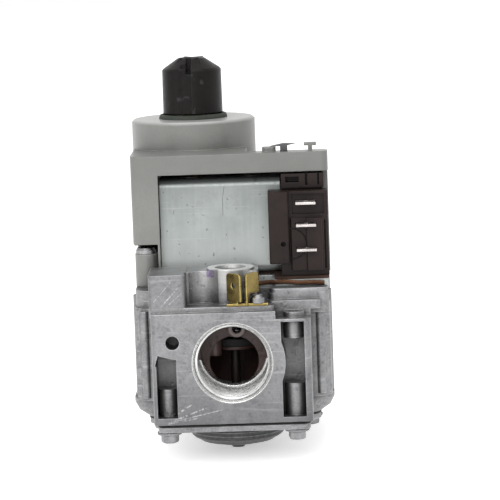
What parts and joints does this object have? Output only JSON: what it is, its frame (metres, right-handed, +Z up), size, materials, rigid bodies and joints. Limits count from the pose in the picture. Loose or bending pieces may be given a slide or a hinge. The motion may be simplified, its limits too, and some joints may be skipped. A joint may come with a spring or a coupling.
{
  "type": "combination gas valve",
  "caption": "Combination gas valve with a turn knob, two solenoid operators, servo regulator, diaphragm main valve and pipe ports at both ends.",
  "frame": {"origin": "centre of the outlet port's mouth, where its threaded wall begins", "axes": "-Y out of the outlet port, +Y into the valve towards the inlet, +Z up through the knob, +X to the right seen from the outlet"},
  "size_m": [0.0655, 0.102, 0.1288],
  "materials": {
    "cast_aluminium": "as die cast, fine satin grain, machined in the ports",
    "dark_cap": "dark satin coating",
    "zinc_steel": "zinc plated and clear passivated",
    "bright_steel": "plain bright steel",
    "brass": "stamped brass, dull with bright edges",
    "copper": "bare copper, slightly tarnished",
    "rubber": "black nitrile rubber",
    "brown_plastic": "dark brown moulding, faint sheen",
    "fibre": "pressed fibre sheet",
    "grey_cover": "warm grey, fine texture",
    "black_knob": "black moulding, worn edges",
    "terminal_metal": "tin plated brass"
  },
  "bodies": {
    "valve_body": {"body_casting": "cast_aluminium", "inlet_screen": "bright_steel", "screen_ring": "bright_steel", "bottom_gasket": "rubber", "bottom_plate": "cast_aluminium", "bottom_dome": "dark_cap", "dome_rivet": "bright_steel", "bottom_screws": "bright_steel", "main_diaphragm": "rubber", "main_valve_spring": "bright_steel", "first_valve_spring": "bright_steel", "servo_spring": "bright_steel", "guide_tubes": "brass", "pole_pieces": "bright_steel", "coil_bobbins": "brown_plastic", "coil_windings": "copper", "coil_yoke": "zinc_steel", "operator_plate": "zinc_steel", "operator_gasket": "fibre", "connector_housing": "brown_plastic", "terminal_block": "brown_plastic", "terminal_blades": "terminal_metal", "ground_terminal": "brass", "ground_screw": "bright_steel", "ground_wire": "copper", "outlet_tap_plug": "bright_steel", "inlet_tap_plug": "bright_steel", "top_cover": "grey_cover", "cover_screws": "bright_steel", "pillar_screw": "bright_steel", "cover_clip": "dark_cap", "bezel_ring": "rubber", "stem_gland": "brass", "regulator_sleeve": "cast_aluminium", "regulator_diaphragm": "rubber", "regulator_seat_button": "brass", "regulator_spring": "bright_steel", "regulator_cap": "cast_aluminium", "pilot_sleeve": "cast_aluminium", "pilot_cap_screw": "bright_steel", "pilot_filter": "brass"},
    "gas_cock": {"cock_stem": "brass", "cock_rotor": "bright_steel", "knob_spring": "bright_steel"},
    "knob": {"knob": "black_knob"},
    "first_valve": {"first_valve_plunger": "bright_steel", "first_valve_disc": "rubber"},
    "servo_valve": {"servo_plunger": "bright_steel", "servo_valve_tip": "rubber"},
    "main_valve": {"main_valve_stem": "bright_steel", "main_valve_disc": "rubber", "diaphragm_plate": "bright_steel"},
    "regulator_button": {"regulator_button": "brass"},
    "regulator_screw": {"regulator_screw": "brass"},
    "pilot_needle": {"pilot_needle": "bright_steel"},
    "pilot_screw": {"pilot_screw": "brass"}
  },
  "joints": [
    {"name": "knob_turn", "type": "hinge", "parent": "valve_body", "child": "gas_cock", "pos_m": [-0.0119, 0.058, 0.06], "axis": [0, 0, 1], "range_deg": [0, 90]},
    {"name": "knob_push", "type": "slide", "parent": "gas_cock", "child": "knob", "axis": [0, 0, -1], "range_m": [0, 0.0015], "stiffness_N_per_m": 1500, "springref_m": -0.001, "deforming": ["knob_spring"]},
    {"name": "first_valve_lift", "type": "slide", "parent": "valve_body", "child": "first_valve", "axis": [0, 0, 1], "range_m": [0, 0.0025], "stiffness_N_per_m": 400, "springref_m": -0.002, "deforming": ["first_valve_spring"]},
    {"name": "servo_valve_lift", "type": "slide", "parent": "valve_body", "child": "servo_valve", "axis": [0, 0, 1], "range_m": [0, 0.001], "stiffness_N_per_m": 400, "springref_m": -0.002, "deforming": ["servo_spring"]},
    {"name": "main_valve_lift", "type": "slide", "parent": "valve_body", "child": "main_valve", "axis": [0, 0, 1], "range_m": [0, 0.003], "stiffness_N_per_m": 300, "springref_m": -0.002, "deforming": ["main_valve_spring", "main_diaphragm"]},
    {"name": "regulator_button_travel", "type": "slide", "parent": "valve_body", "child": "regulator_button", "axis": [0, 0, 1], "range_m": [-0.001, 0.001], "deforming": ["regulator_spring"]},
    {"name": "regulator_screw_turn", "type": "hinge", "parent": "regulator_button", "child": "regulator_screw", "pos_m": [0.018, 0.072, 0.048], "axis": [0, 0, 1], "range_deg": [-360, 360]},
    {"name": "pilot_needle_travel", "type": "slide", "parent": "valve_body", "child": "pilot_needle", "axis": [0, 0, 1], "range_m": [-0.0007, 0.0015]},
    {"name": "pilot_screw_turn", "type": "hinge", "parent": "pilot_needle", "child": "pilot_screw", "pos_m": [-0.02, 0.082, 0.04], "axis": [0, 0, 1], "range_deg": [-252, 540]}
  ],
  "couplings": [
    {"joint": "regulator_screw_turn", "follows": "regulator_button_travel", "rad_per_m": 6283.2},
    {"joint": "pilot_screw_turn", "follows": "pilot_needle_travel", "rad_per_m": 6283.2}
  ]
}
